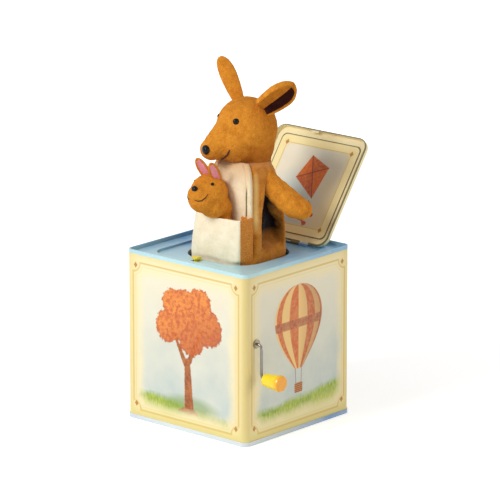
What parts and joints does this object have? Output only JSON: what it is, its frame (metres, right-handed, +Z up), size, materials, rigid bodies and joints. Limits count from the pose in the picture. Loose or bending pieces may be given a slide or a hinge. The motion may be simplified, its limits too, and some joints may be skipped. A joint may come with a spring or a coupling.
{
  "type": "jack in the box",
  "caption": "Square tin jack in the box with a plush kangaroo and joey on a coil spring, a hinged lid, a trip latch and a side crank that turns a small music movement.",
  "frame": {"origin": "centre of the base rim, on the ground plane under the box", "axes": "+Z up; -Y is the front with the latch; +X is the right side with the crank; the lid hinge is at +Y"},
  "size_m": [0.1743, 0.1935, 0.3308],
  "materials": {
    "cream_tin": "lithographed gloss",
    "blue_tin": "lithographed gloss",
    "rim_tin": "satin",
    "print_panel": "printed card, satin",
    "steel": "plated",
    "spring_steel": "bright drawn wire",
    "brass": "turned",
    "chrome_wire": "bright",
    "yellow_plastic": "gloss",
    "white_plastic": "satin",
    "turned_wood": "sanded",
    "plush_brown": "short velour",
    "plush_cream": "short velour",
    "plush_pink": "satin cloth",
    "black_bead": "polished"
  },
  "bodies": {
    "box": {"side_walls": "cream_tin", "bottom_tray": "rim_tin", "top_frame": "blue_tin", "hinge_pin": "steel", "wall_bushing": "brass", "movement_frame": "steel", "frame_screws": "steel", "comb": "steel", "comb_screws": "steel", "latch_bracket": "steel", "latch_pin": "steel", "spring_seat": "turned_wood", "seat_screws": "steel", "hem_ring": "steel", "main_spring": "spring_steel", "body_cloth": "plush_brown", "bib": "plush_cream", "pouch": "plush_cream", "left_arm": "plush_brown", "right_arm": "plush_brown", "joey_body": "plush_brown", "joey_head": "plush_brown", "joey_ears": "plush_pink", "joey_eyes": "black_bead", "joey_nose": "black_bead"},
    "puppet": {"spring_top": "turned_wood", "head": "plush_brown", "up_ear": "plush_brown", "out_ear": "plush_brown", "eyes": "black_bead", "nose": "black_bead"},
    "lid": {"lid_shell": "cream_tin", "lid_panel": "print_panel"},
    "latch": {"latch_lever": "yellow_plastic"},
    "crank": {"crank_wire": "chrome_wire", "pinion": "brass", "crank_collar": "brass"},
    "grip": {"crank_grip": "yellow_plastic"},
    "drum": {"drum_shaft": "steel", "drum": "brass", "drum_gear": "brass", "trip_cam": "white_plastic"}
  },
  "joints": [
    {"name": "press_down", "type": "slide", "parent": "box", "child": "puppet", "axis": [0, 0, -1], "range_m": [0, 0.172], "stiffness_N_per_m": 45, "springref_m": -0.06, "deforming": ["main_spring", "body_cloth", "bib", "pouch", "left_arm", "right_arm", "joey_body", "joey_head", "joey_ears", "joey_eyes", "joey_nose", "up_ear", "out_ear"]},
    {"name": "lid_hinge", "type": "hinge", "parent": "box", "child": "lid", "pos_m": [0, 0.0552, 0.1542], "axis": [1, 0, 0], "range_deg": [0, 125.6]},
    {"name": "latch_pivot", "type": "hinge", "parent": "box", "child": "latch", "pos_m": [-0.009, -0.04675, 0.136], "axis": [1, 0, 0], "range_deg": [0, 8]},
    {"name": "crank_turn", "type": "hinge", "parent": "box", "child": "crank", "pos_m": [0.0715, -0.0575, 0.093], "axis": [1, 0, 0], "continuous": true},
    {"name": "grip_spin", "type": "hinge", "parent": "crank", "child": "grip", "pos_m": [0.092, -0.0575, 0.062], "axis": [1, 0, 0], "continuous": true},
    {"name": "drum_turn", "type": "hinge", "parent": "box", "child": "drum", "pos_m": [0.02, -0.0575, 0.1074], "axis": [1, 0, 0], "continuous": true}
  ],
  "couplings": [
    {"joint": "lid_hinge", "follows": "press_down", "rad_per_m": 12.735},
    {"joint": "drum_turn", "follows": "crank_turn", "ratio": -0.33333}
  ]
}
